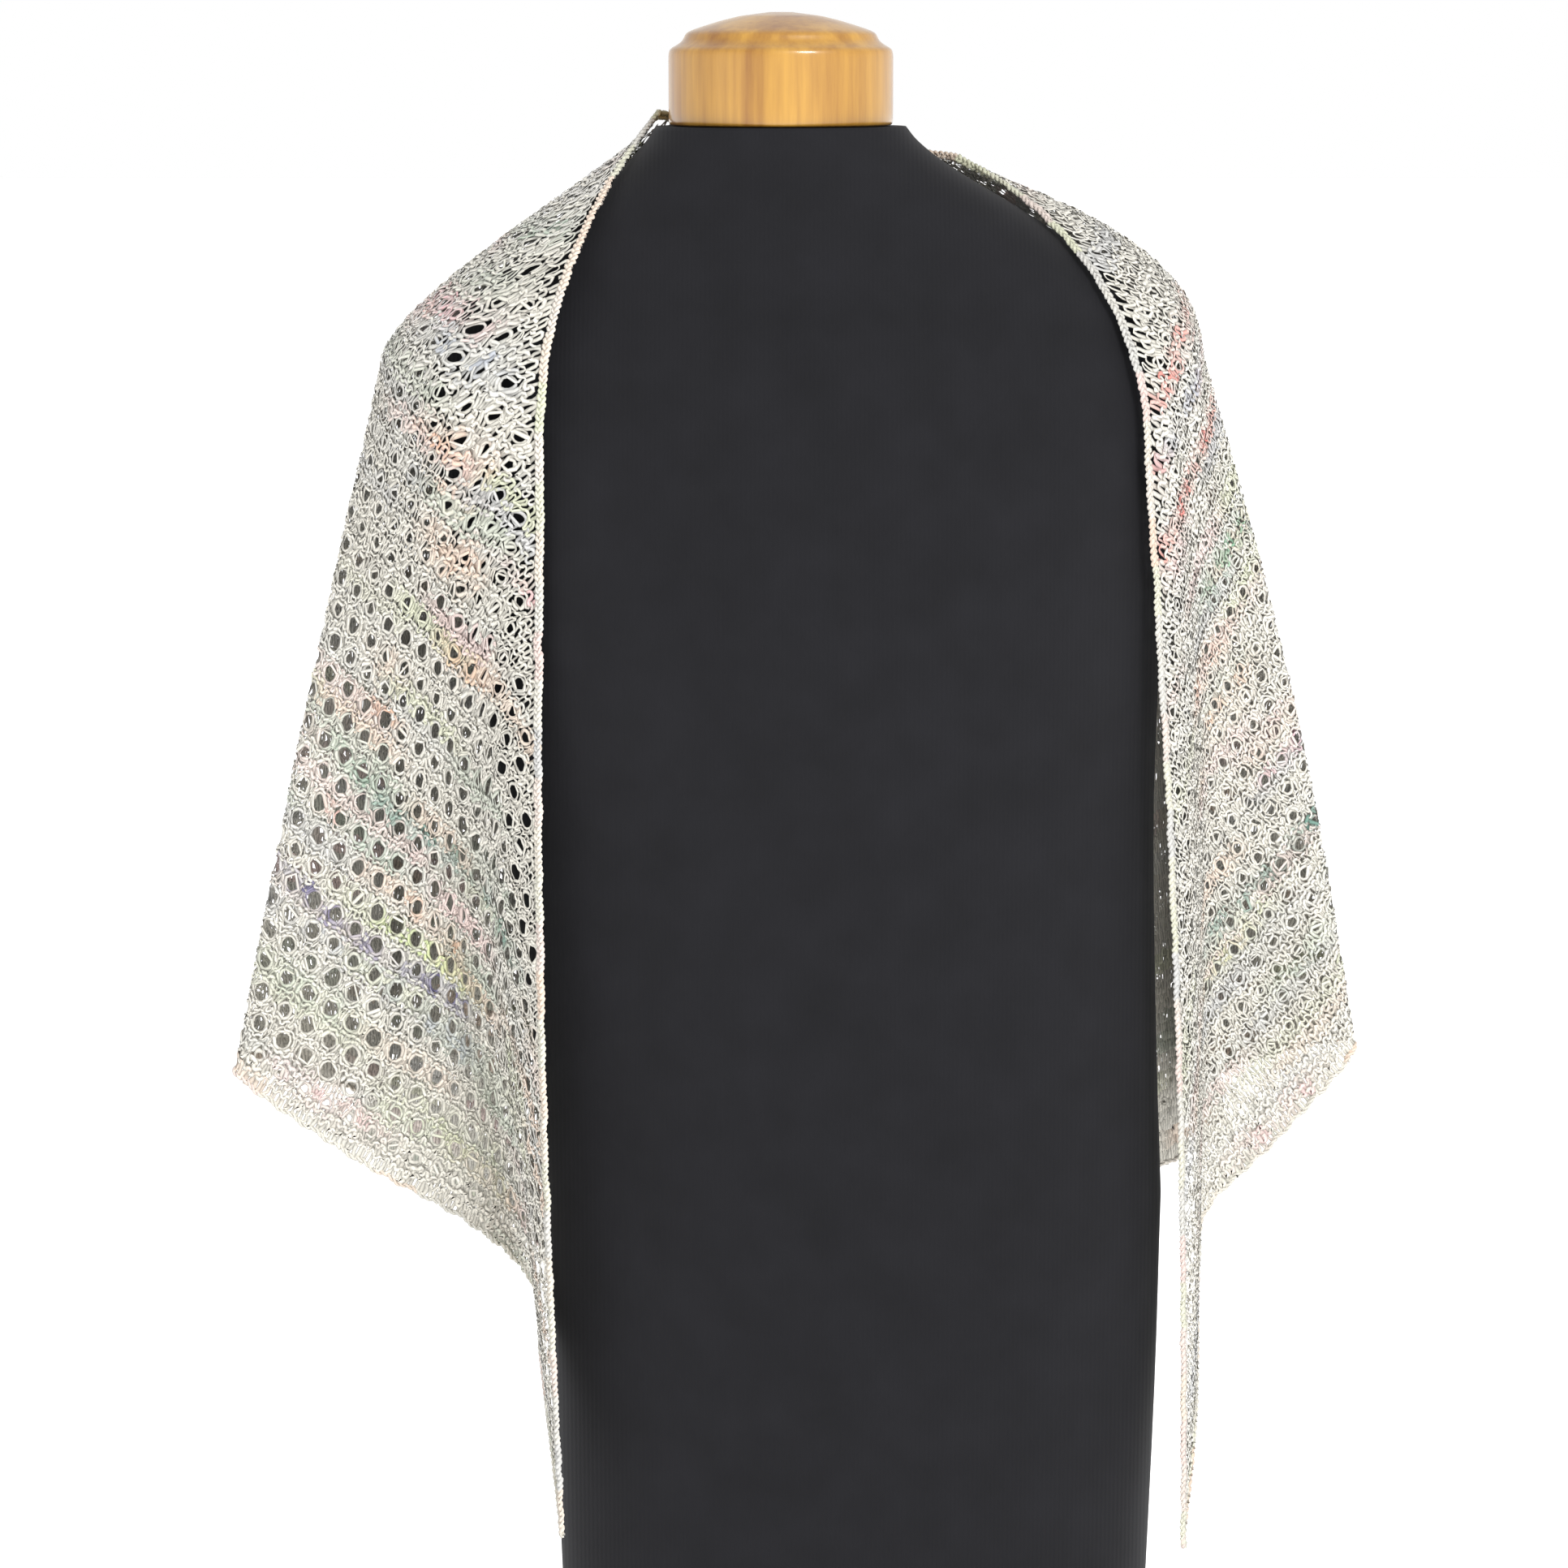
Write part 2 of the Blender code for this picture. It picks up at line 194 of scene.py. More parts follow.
def new_material(name):
    """An empty node material with a Principled shader, its tree and that shader."""
    material = bpy.data.materials.new(name)
    material.use_nodes = True
    return material, material.node_tree, material.node_tree.nodes["Principled BSDF"]


def unit(vectors, least=0.0):
    """The vectors divided by their lengths, plus least where some may have none."""
    return vectors / (np.linalg.norm(vectors, axis=-1, keepdims=True) + least)


def scatter(*keys):
    """A repeatable number from 0 to 1: the fraction of 43758.5453 sin(t), t the keys' weighted sum."""
    total = sum(np.asarray(key, float) * scale for key, scale in zip(keys, (12.9898, 78.233, 37.719, 9.151)))
    value = np.sin(total) * 43758.5453
    return value - np.floor(value)


def wander(x, seed):
    """Smooth noise along a line from -1 to 1: scattered values at whole numbers, eased between them."""
    base = np.floor(x)
    t = x - base
    ease = t * t * (3 - 2 * t)
    return (scatter(base, seed) * (1 - ease) + scatter(base + 1, seed) * ease) * 2 - 1


def smooth_through(values, steps):
    """Catmull-Rom curve through the rows of values, with the same number of steps in each gap."""
    ends = np.concatenate([2 * values[:1] - values[1:2], values, 2 * values[-1:] - values[-2:-1]])
    t = np.tile(np.arange(steps) / steps, len(values) - 1)[:, None]
    k = np.repeat(np.arange(len(values) - 1), steps)
    a, b, c, d = (ends[k + i] for i in range(4))
    curve = 0.5 * (2 * b + (c - a) * t + (2 * a - 5 * b + 4 * c - d) * t**2 + (3 * b - a - 3 * c + d) * t**3)
    return np.concatenate([curve, values[-1:]])


def neck_point(side, turn):
    """A point of the neck line: an arc whose radius and drop change from the nape to the front."""
    sign = -1.0 if side == "left" else 1.0
    folds = LEFT_FOLDS if side == "left" else RIGHT_FOLDS
    forward = (180.0 - turn) / (180.0 - folds["front_edge"][0])
    radius = NAPE_RADIUS + (NECK_LINE[side]["radius"] - NAPE_RADIUS) * forward**2
    drop = NAPE_DROP + (NECK_LINE[side]["drop"] - NAPE_DROP) * forward
    angle = math.radians(turn)
    return (sign * radius * math.sin(angle), -radius * math.cos(angle), drop)


def fold_rows():
    """Every fold line in order from the left front edge round the back to the right front edge."""
    left = [("left", row) for row in LEFT_FOLDS.values()]
    right = [("right", row) for row in reversed(RIGHT_FOLDS.values())]
    rows = []
    for side, row in [*left, ("left", CENTRE_BACK), *right]:
        fold = dict(zip(FOLD_COLUMNS, row))
        neck = neck_point(side, fold["neck_turn"])
        turn = (fold["turn_x"], fold["turn_y"], fold["turn_drop"])
        hem = (fold["hem_x"], fold["hem_y"], fold["hem_drop"])
        rows.append((*neck, *turn, fold["lift"], *hem, fold["bow"]))
    return np.array(rows, float)


def cloth_surface():
    """The middle surface of the cloth as a grid of points: lines across, equal lengths down.

    Each line bends over the shoulder on a quadratic arc, (1-t)^2 neck + 2t(1-t) crown + t^2 turn,
    then falls straight to the hem, swelling outwards by bow * sin(pi f). Each is then divided
    into equal lengths.
    """
    lines = smooth_through(fold_rows(), FOLD_STEPS)
    neck, turn, hem = lines[:, None, 0:3], lines[:, None, 3:6], lines[:, None, 7:10]
    lift, bow = lines[:, None, 6:7], lines[:, None, 10:11]
    crown = turn - lift * np.array([0.0, 0.0, 1.0])
    t = (np.arange(SHOULDER_STEPS) / SHOULDER_STEPS)[None, :, None]
    over = (1 - t) ** 2 * neck + 2 * t * (1 - t) * crown + t**2 * turn
    f = (np.arange(HANG_STEPS + 1) / HANG_STEPS)[None, :, None]
    outward = unit(turn * np.array([1.0, 1.0, 0.0]))
    down = turn + (hem - turn) * f + outward * bow * np.sin(math.pi * f)
    points = np.concatenate([over, down], axis=1)
    points[..., 2] = NECK_HEIGHT - points[..., 2]
    steps = np.linalg.norm(np.diff(points, axis=1), axis=2)
    along = np.concatenate([np.zeros((len(points), 1)), np.cumsum(steps, axis=1)], axis=1)
    wanted = along[:, -1:] * np.arange(DOWN_STEPS + 1) / DOWN_STEPS
    before = np.clip((along[:, :, None] <= wanted[:, None, :]).sum(axis=1) - 1, 0, along.shape[1] - 2)
    line = np.arange(len(points))[:, None]
    share = (wanted - along[line, before]) / (along[line, before + 1] - along[line, before])
    even = points[line, before] * (1 - share[..., None]) + points[line, before + 1] * share[..., None]
    return even + np.array(STAND_SHIFT), along[:, -1]


SURFACE, LINE_LENGTHS = cloth_surface()
LINES = len(SURFACE)
CENTRE_LINE = LINES // 2


def surface_normals():
    """Outward normals of the grid: the cross product of its two directions, made unit length."""
    return unit(np.cross(np.gradient(SURFACE, axis=0), np.gradient(SURFACE, axis=1)))


NORMALS = surface_normals()


def flat_cut():
    """Where each line of the draped cloth starts and ends on the flat triangle.

    The long edge lies on y = 0 with the nape at x = 0 and the tip at the centre back at
    (0, -depth). A line starts at its own distance round the neck from the nape. It ends on the
    hem, where each gap in front gives its FRONT_EASE of flat hem for each length of draped hem,
    and the back takes up the rest.
    """
    neck_steps = np.linalg.norm(np.diff(SURFACE[:, 0], axis=0), axis=1)
    round_neck = np.concatenate([[0.0], np.cumsum(neck_steps)])
    start_x = round_neck - round_neck[CENTRE_LINE]
    tips = (start_x[0] - LINE_LENGTHS[0], start_x[-1] + LINE_LENGTHS[-1])
    hem_steps = np.linalg.norm(np.diff(SURFACE[:, -1], axis=0), axis=1)
    hem_at = np.zeros(LINES)
    for first, last, tip in ((0, CENTRE_LINE, tips[0]), (CENTRE_LINE, LINES - 1, tips[1])):
        steps = hem_steps[first:last]
        if tip > 0:
            steps = steps[::-1]
        full = math.hypot(tip, CENTRE_DEPTH)
        place = np.arange(len(steps)) / FOLD_STEPS
        ease = np.interp(place, np.arange(RIDGE_FOLD) + 0.5, FRONT_EASE["left" if tip < 0 else "right"])
        behind = np.clip((place - RIDGE_FOLD + 0.5) / 2.0, 0, 1)
        behind = behind * behind * (3 - 2 * behind)
        extra = (full - (ease * steps).sum()) / (behind * steps).sum()
        share = np.concatenate([[0.0], np.cumsum(steps * (ease + behind * extra))]) / full
        hem_at[first:last + 1] = share if tip < 0 else share[::-1]
    side_tip = np.where(np.arange(LINES) <= CENTRE_LINE, tips[0], tips[1])
    starts = np.column_stack([start_x, np.zeros(LINES)])
    hems = np.column_stack([side_tip * (1 - hem_at), -CENTRE_DEPTH * hem_at])
    return starts, hems, tips


STARTS, HEMS, TIPS = flat_cut()


def drape(flat, side):
    """Where points of the flat triangle lie on the draped cloth, and the cloth's normal there.

    The line through a point is found by halving: the cross product of the line's direction with
    the way to the point changes sign across it. Its share down that line then gives the place.
    """
    low = np.full(len(flat), 0.0 if side == "left" else CENTRE_LINE)
    high = np.full(len(flat), CENTRE_LINE if side == "left" else LINES - 1.0)
    index = np.arange(LINES)
    for _ in range(18):
        middle = (low + high) / 2
        start_x = np.interp(middle, index, STARTS[:, 0])
        way_x = np.interp(middle, index, HEMS[:, 0]) - start_x
        way_y = np.interp(middle, index, HEMS[:, 1])
        beyond = way_x * flat[:, 1] - way_y * (flat[:, 0] - start_x) > 0
        low, high = np.where(beyond, middle, low), np.where(beyond, high, middle)
    start_x = np.interp(low, index, STARTS[:, 0])
    way = np.column_stack([np.interp(low, index, HEMS[:, 0]) - start_x, np.interp(low, index, HEMS[:, 1])])
    share = ((flat - np.column_stack([start_x, np.zeros(len(flat))])) * way).sum(axis=1) / (way**2).sum(axis=1)
    return on_surface(low, np.clip(share, 0, 1) * DOWN_STEPS)


def on_surface(line, step):
    """Point and normal of the cloth between the four nearest points of its grid."""
    i = np.clip(np.floor(line).astype(int), 0, LINES - 2)
    j = np.clip(np.floor(step).astype(int), 0, DOWN_STEPS - 1)
    a, b = (line - i)[:, None], (step - j)[:, None]
    mixed = []
    for grid in (SURFACE, NORMALS):
        near = grid[i, j] * (1 - b) + grid[i, j + 1] * b
        far = grid[i + 1, j] * (1 - b) + grid[i + 1, j + 1] * b
        mixed.append(near * (1 - a) + far * a)
    return mixed[0], unit(mixed[1])


def link_mesh(name, points_mm, faces, material):
    """A smooth mesh piece from points in millimetres, riding on the one body.

    faces is a list of arrays, each with faces of one number of corners.
    """
    mesh = bpy.data.meshes.new(name)
    corners = np.concatenate([group.ravel() for group in faces]).astype(np.int32)
    sizes = np.concatenate([np.full(len(group), group.shape[1]) for group in faces])
    mesh.vertices.add(len(points_mm))
    mesh.vertices.foreach_set("co", (points_mm * MM).astype(np.float32).ravel())
    mesh.loops.add(len(corners))
    mesh.loops.foreach_set("vertex_index", corners)
    mesh.polygons.add(len(sizes))
    mesh.polygons.foreach_set("loop_start", (np.cumsum(sizes) - sizes).astype(np.int32))
    mesh.update(calc_edges=True)
    mesh.validate()
    mesh.shade_smooth()
    mesh.materials.append(material)
    piece = bpy.data.objects.new(name, mesh)
    bpy.context.scene.collection.objects.link(piece)
    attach(piece, "root")
    return piece


def put_attribute(piece, name, kind, values):
    """Stores one value for each point of a piece's mesh."""
    field = "color" if kind == "FLOAT_COLOR" else "vector"
    attribute = piece.data.attributes.new(name, kind, "POINT")
    attribute.data.foreach_set(field, values.astype(np.float32).ravel())


# Yarn colours of the hank.
SHADES = {
    "undyed": "#DAD6CB", "cool_grey": "#C9CCCA", "coral": "#DE6A5C", "pink": "#E7A6AE", "peach": "#F0B48C",
    "orange": "#E99A5B", "lime": "#C0D08E", "teal": "#35786A", "green": "#78A286", "violet": "#463D80",
    "blue_grey": "#8E9BB4", "magenta": "#C9628F",
}
SHADE_TABLE = np.array([linear(value)[:3] for value in SHADES.values()])
SHADE_INDEX = {name: i for i, name in enumerate(SHADES)}
RUNS = ("undyed", "cool_grey", "undyed", "pink", "undyed", "peach", "cool_grey", "undyed", "lime", "undyed",
        "blue_grey", "undyed", "cool_grey", "green", "undyed")
RUN_LENGTH = 70.0
RUN_BLEND = 0.3  # the last share of a run passes into the next colour
RUN_OFFSET = 700.0  # how far the hank is shifted from one pair of rows to another
RUN_STRENGTH = (0.05, 0.26)  # the palest run, and what the strongest has more
STREAK_WAVE = 60.0
STREAK_DRIFT = 4.0
STREAK_FADE = 25.0
STREAK_PATCH = 7.0
STREAK_LEAST = 0.12
FLECK_LENGTH = 3.1

# Streaks that show in front, one row each, along the rows of the knit.
STREAK_COLUMNS = ("shade", "along_from", "along_to", "above_hem", "spread", "strength")
STREAKS = {
    "left": (
        ("pink", 455, 540, 388, 6.0, 0.80), ("coral", 490, 530, 383, 3.0, 0.60),
        ("blue_grey", 420, 500, 376, 5.0, 0.60), ("green", 480, 540, 438, 10.0, 0.55),
        ("green", 470, 520, 412, 6.0, 0.40), ("peach", 400, 470, 344, 8.0, 0.70),
        ("orange", 390, 450, 322, 4.0, 0.45), ("peach", 370, 440, 298, 9.0, 0.65),
        ("peach", 330, 400, 262, 7.0, 0.60), ("pink", 325, 378, 310, 5.0, 0.80),
        ("coral", 345, 372, 307, 2.5, 0.60), ("orange", 385, 435, 210, 4.0, 0.70),
        ("peach", 395, 440, 226, 8.0, 0.45), ("teal", 210, 420, 168, 6.0, 0.9),
        ("green", 360, 470, 178, 6.0, 0.50), ("coral", 395, 428, 146, 3.0, 0.85),
        ("green", 335, 410, 142, 4.0, 0.50), ("peach", 280, 390, 132, 6.0, 0.60),
        ("lime", 260, 400, 115, 5.0, 0.80), ("violet", 265, 440, 103, 3.2, 0.90),
        ("blue_grey", 250, 440, 88, 9.0, 0.45), ("green", 320, 420, 62, 10.0, 0.35),
        ("lime", 160, 235, 112, 9.0, 0.60), ("lime", 190, 330, 38, 10.0, 0.40),
        ("pink", 290, 385, 24, 7.0, 0.40), ("violet", 322, 345, 20, 3.0, 0.60),
    ),
    "right": (
        ("coral", 425, 530, 380, 4.5, 1.0), ("coral", 385, 430, 358, 5.5, 1.0),
        ("coral", 340, 505, 330, 5.0, 1.0), ("blue_grey", 405, 505, 362, 5.0, 0.60),
        ("pink", 365, 425, 318, 8.0, 0.50), ("green", 380, 485, 268, 7.0, 1.0),
        ("lime", 400, 480, 252, 6.0, 0.45), ("peach", 335, 415, 242, 8.0, 0.60),
        ("orange", 340, 415, 218, 4.0, 0.45), ("magenta", 355, 445, 158, 3.0, 0.70),
        ("pink", 350, 430, 180, 7.0, 0.35), ("teal", 265, 405, 122, 5.0, 1.0),
        ("lime", 245, 345, 106, 6.0, 0.65), ("green", 285, 365, 70, 8.0, 0.40),
        ("pink", 215, 305, 12, 6.0, 0.45),
    ),
}


def yarn_colours(side, along, above):
    """Linear colours along the rows: the hank's runs in turn, blended, then the streaks in front."""
    band = np.floor(above / (2 * ROW_PITCH))
    run = (along + scatter(band, 3.0) * RUN_OFFSET) / RUN_LENGTH
    first = np.floor(run)
    ease = np.clip((run - first - (1 - RUN_BLEND)) / RUN_BLEND, 0, 1)
    order = np.array([SHADE_INDEX[name] for name in RUNS])
    side_seed = 1.0 if side == "left" else 2.0
    here = order[(scatter(first, band, side_seed) * len(RUNS)).astype(int)]
    after = order[(scatter(first + 1, band, side_seed) * len(RUNS)).astype(int)]
    strong = scatter(first, band, side_seed, 5.0)[:, None] * RUN_STRENGTH[1] + RUN_STRENGTH[0]
    tint = SHADE_TABLE[here] * (1 - ease[:, None]) + SHADE_TABLE[after] * ease[:, None]
    colour = SHADE_TABLE[0] * (1 - strong) + tint * strong
    for row in STREAKS[side]:
        streak = dict(zip(STREAK_COLUMNS, row))
        drift = wander(along / STREAK_WAVE, streak["above_hem"]) * STREAK_DRIFT
        near = np.exp(-(((above - streak["above_hem"] - drift) / streak["spread"]) ** 2))
        ends = np.clip((along - streak["along_from"]) / STREAK_FADE, 0, 1)
        ends = ends * np.clip((streak["along_to"] - along) / STREAK_FADE, 0, 1)
        patch = scatter(np.floor(along / STREAK_PATCH), np.floor(above / ROW_PITCH), streak["above_hem"])
        patch = STREAK_LEAST + (1 - STREAK_LEAST) * patch**1.5
        much = (near * ends * patch * streak["strength"])[:, None]
        colour = colour * (1 - much) + SHADE_TABLE[SHADE_INDEX[streak["shade"]]] * much
    fleck = scatter(np.floor(along / FLECK_LENGTH), np.floor(above / ROW_PITCH), 7.0)[:, None]
    return colour * (0.9 + 0.2 * fleck)


def knit_rows(side, first_row, last_row):
    """The yarn of some rows as points on the flat half triangle: along the hem and above it.

    A row's loops are along = s + sway * sin(2p), above = row - reach * cos(p), height = rise *
    cos(2p), with p = 2 pi s / stitch, each straying a little. Round each eyelet the rows part above
    and below its centre, and a distance d from it becomes radius + d * (1 - radius / reach). Short
    kinks come last, so that they show at the eyelets too.
    """
    hem_length, edge_slope = hem_of(side)
    rows = np.arange(first_row, last_row)
    level = CAST_OFF_WIDTH + ROW_PITCH * (rows + FIRST_ROW_AT)
    begin = level / edge_slope + CHAIN_WIDTH * 0.7 / math.sin(math.atan(edge_slope))
    finish = hem_length - level * edge_slope + 1.0
    kept = finish > begin + 2 * STITCH_WIDTH
    rows, level, begin, finish = rows[kept], level[kept], begin[kept], finish[kept]
    step = STITCH_WIDTH / POINTS_PER_STITCH
    first = np.ceil(begin / step).astype(int)
    count = np.floor(finish / step).astype(int) - first
    row = np.repeat(np.arange(len(rows)), count)
    order = np.arange(count.sum()) - np.repeat(np.cumsum(count) - count, count)
    s = (first[row] + order + 0.5) * step
    base = level[row]
    phase = 2 * math.pi * s / STITCH_WIDTH
    stray = {key: much * wander(s / length, rows[row] + seed) for key, (much, length, seed) in LOOP_STRAY.items()}
    along = s + LOOP_SWAY * np.sin(2 * phase) + stray["along"]
    above = base - LOOP_REACH * (1 + stray["reach"]) * np.cos(phase) + stray["above"]
    height = LOOP_RISE * np.cos(2 * phase) + stray["height"]
    tier = np.floor((base - CAST_OFF_WIDTH) / CELL_HIGH)
    for neighbour in (-1, 0, 1):
        line = tier + neighbour
        place = np.round((along - np.mod(line, 2) * 0.5 * CELL_WIDE) / CELL_WIDE)
        centre_along, centre_above, radius, shown = eyelet(side, place, line)
        way_along, way_above = along - centre_along, above - centre_above
        part = 1 - (way_along / PARTING_REACH[0]) ** 2 - (way_above / PARTING_REACH[1]) ** 2
        part = np.clip(part, 0, 1) ** 2 * radius / EYELET_RADIUS
        way_above = way_above + np.sign(base - centre_above) * EYELET_PARTING * part * shown
        distance = np.hypot(way_along, way_above) + 1e-6
        spread = np.where(distance < EYELET_REACH, radius / distance + 1 - radius / EYELET_REACH, 1.0)
        spread = np.where(shown, spread, 1.0)
        along = centre_along + way_along * spread
        above = centre_above + way_above * spread
    return along + stray["kink_along"], above + stray["kink_above"], height, row, s, base


def eyelet(side, place, line):
    """Middle, radius and presence of eyelets on a lattice, every second line half a cell along.

    They narrow up the cloth, are small on the right and close behind the outer ridge, where the
    two layers lie close, and none lies at an edge or the spine.
    """
    hem_length, edge_slope = hem_of(side)
    centre_along = (place + np.mod(line, 2) * 0.5) * CELL_WIDE
    centre_along = centre_along + (scatter(place, line, 1.0) - 0.5) * EYELET_JITTER[0]
    centre_above = CAST_OFF_WIDTH + (line + 0.5) * CELL_HIGH - EYELET_LOWERED * ROW_PITCH
    centre_above = centre_above + (scatter(place, line, 2.0) - 0.5) * EYELET_JITTER[1]
    least, more = EYELET_VARIETY
    radius = EYELET_RADIUS * EYELET_SIZE[side] * (least + more * scatter(place, line, 3.0))
    radius = radius * np.where(line == 1, FIRST_LINE_SIZE, 1.0)
    lost, from_height, run = UPPER_NARROWING
    radius = radius * (1 - lost * np.clip((centre_above - from_height) / run, 0, 1))
    if side == "right":
        radius = radius * np.interp(centre_above, *zip(*RIGHT_PLAIN))
    radius = radius * np.interp(centre_along - ridge_along(side, centre_above), *zip(*BEHIND_SIZE))
    inside_edge = centre_along - centre_above / edge_slope > EDGE_CLEARANCE
    inside_spine = hem_length - centre_above * edge_slope - centre_along > SPINE_CLEARANCE
    return centre_along, centre_above, radius, inside_edge & inside_spine & (line >= 1)


def ridge_along(side, above):
    """How far along the hem the outer ridge lies, above the hem: a straight line on the flat cut."""
    hem_length, _ = hem_of(side)
    line = RIDGE_FOLD * FOLD_STEPS if side == "left" else LINES - 1 - RIDGE_FOLD * FOLD_STEPS
    tip = abs(TIPS[0] if side == "left" else TIPS[1])
    at_hem = -HEMS[line, 1] / CENTRE_DEPTH * hem_length
    edge = tip - abs(STARTS[line, 0])
    return at_hem + (edge * tip / hem_length - at_hem) * above / (edge * CENTRE_DEPTH / hem_length)


def eyelet_rings(side, first_row, last_row):
    """The yarn round each eyelet of some rows: a ring a little wider than it, uneven and closed."""
    places = np.arange(0, hem_of(side)[0] / CELL_WIDE + 1)
    line, place = np.meshgrid(np.arange(1, MOST_EYELET_LINES), places, indexing="ij")
    level = (line + 0.5) * ROWS_PER_EYELET - EYELET_LOWERED
    wanted = (level >= first_row) & (level < last_row)
    line, place = line[wanted], place[wanted]
    centre_along, centre_above, radius, shown = eyelet(side, place, line)
    centre_along, centre_above, radius = (value[shown] for value in (centre_along, centre_above, radius))
    corner = np.tile(np.arange(RING_STEPS + 1), len(radius))
    ring = np.repeat(np.arange(len(radius)), RING_STEPS + 1)
    turn = 2 * math.pi * np.mod(corner, RING_STEPS) / RING_STEPS
    uneven = wander(np.mod(corner, RING_STEPS) * 0.7, ring + 0.5)
    distance = radius[ring] + RING_MARGIN + RING_STRAY * uneven
    along = centre_along[ring] + distance * np.cos(turn)
    above = centre_above[ring] + distance * np.sin(turn) * RING_TALLER
    height = 0.35 * np.sin(2 * turn + ring) - 0.25
    return along, above, height, ring, corner * 1.6 + ring * 7.0, centre_above[ring]


def hem_of(side):
    """The length of one half's hem on the flat cut, and the slope of the cut's long edge over it."""
    tip = TIPS[0] if side == "left" else TIPS[1]
    return math.hypot(tip, CENTRE_DEPTH), CENTRE_DEPTH / abs(tip)


def flat_point(side, along, above):
    """From distances along and above the hem to the flat triangle's own x and y."""
    tip = TIPS[0] if side == "left" else TIPS[1]
    hem_length = math.hypot(tip, CENTRE_DEPTH)
    run = np.array([-tip, -CENTRE_DEPTH]) / hem_length
    rise = np.array([-run[1], run[0]]) if tip < 0 else np.array([run[1], -run[0]])
    return np.array([tip, 0.0]) + along[:, None] * run + above[:, None] * rise


def stretch(side, along, above, place):
    """How much the drape opens the knit at points: the longer of its two steps for one flat step.

    It is kept within a range. The yarn fluffs out where the loops are pulled open, and fills them.
    """
    beside, _ = drape(flat_point(side, along + STRETCH_STEP, above), side)
    higher, _ = drape(flat_point(side, along, above + STRETCH_STEP), side)
    steps = np.maximum(np.linalg.norm(beside - place, axis=1), np.linalg.norm(higher - place, axis=1))
    return np.clip(steps / STRETCH_STEP, *STRETCH_RANGE)


def strand_ways(path, strand):
    """The way along some strands at each point, and which points start and which stop one."""
    ahead = np.roll(path, -1, axis=0)
    behind = np.roll(path, 1, axis=0)
    starts = strand != np.roll(strand, 1)
    stops = strand != np.roll(strand, -1)
    ahead[stops] = path[stops]
    behind[starts] = path[starts]
    return ahead - behind, starts, stops


def strand_ribbon(centre, normal, width, strand):
    """Strands as ribbons that lie on the cloth: two points across at each centre, width to each side.

    Sideways is the cross product of the strand's direction and the cloth's normal. The material
    rounds them.
    """
    way, _, stops = strand_ways(centre, strand)
    half = unit(np.cross(unit(way, LEAST_LENGTH), normal), LEAST_LENGTH) * width[:, None]
    at = np.flatnonzero(~stops) * 2
    faces = np.column_stack([at, at + 1, at + 3, at + 2])
    return np.stack([centre - half, centre + half], axis=1).reshape(-1, 3), [faces]


def build_knit(side, name, first_row, last_row, material):
    """One piece of the knit: the yarn of its rows and eyelets on the draped cloth, with its colours and painted
    shade.

    The yarn's width has slubs and lumps, follows the cloth's stretch and is fuller near the hem.
    """
    rows = knit_rows(side, first_row, last_row)
    rings = eyelet_rings(side, first_row, last_row)
    along, above, height, strand, run, base = (np.concatenate(pair) for pair in zip(rows, rings))
    strand = strand + np.repeat([0, rows[3].max() + 1], [len(rows[3]), len(rings[3])])
    place, normal = drape(flat_point(side, along, above), side)
    centre = place + normal * height[:, None]
    slubs = SLUBS[0] * wander(run / SLUBS[1], base)
    lumps = LUMPS[0] * wander(run / LUMPS[1], base + 7.0)
    width = YARN_RADIUS * (1 + slubs + lumps) * stretch(side, along, above, place)
    width = width * (1 + HEM_FIRMNESS * np.clip(1.5 - (base - CAST_OFF_WIDTH) / HEM_FIRM_TO[side], 0, 1))
    points, faces = strand_ribbon(centre, normal, width, strand)
    piece = link_mesh(name, points, faces, material)
    # painted shade: yarn that lies lower, under the crossing loops, gets a darker colour, the highest the lightest
    raised = np.clip((height + LEG_SHADE_HEIGHT) / (2 * LEG_SHADE_HEIGHT), 0, 1)
    shade = PAINTED_LEG_SHADE[0] + PAINTED_LEG_SHADE[1] * raised
    colours = np.column_stack([yarn_colours(side, along, base) * shade[:, None], np.ones(len(along))])
    put_attribute(piece, "yarn_colour_and_painted_shade", "FLOAT_COLOR", np.repeat(colours, 2, axis=0))
    texture = np.stack([np.repeat(run * 3.3, 2), np.tile([-1.0, 1.0], len(run)), np.repeat(base, 2)], axis=1)
    put_attribute(piece, "yarn_run", "FLOAT_VECTOR", texture)
    return piece


def tube_along(path, radius, sides, strand):
    """Closed tubes round strands of points: rings of points at radius, in the plane across each."""
    way, starts, stops = strand_ways(path, strand)
    direction = unit(way)
    reference = np.where(np.abs(direction[:, 1:2]) < 0.9, [[0.0, 1.0, 0.0]], [[1.0, 0.0, 0.0]])
    first = unit(np.cross(direction, reference))
    second = np.cross(direction, first)
    turn = np.arange(sides) * 2 * math.pi / sides
    ring = first[:, None] * np.cos(turn)[None, :, None] + second[:, None] * np.sin(turn)[None, :, None]
    points = path[:, None] + ring * radius[:, None, None]
    at = (np.flatnonzero(~stops) * sides)[:, None]
    k = np.arange(sides)[None, :]
    beside = (k + 1) % sides
    walls = np.stack([at + k, at + sides + k, at + sides + beside, at + beside], axis=-1).reshape(-1, 4)
    first_ends = np.flatnonzero(starts)[:, None] * sides + k
    last_ends = np.flatnonzero(stops)[:, None] * sides + k[:, ::-1]
    return points.reshape(-1, 3), [walls, np.concatenate([first_ends, last_ends])]


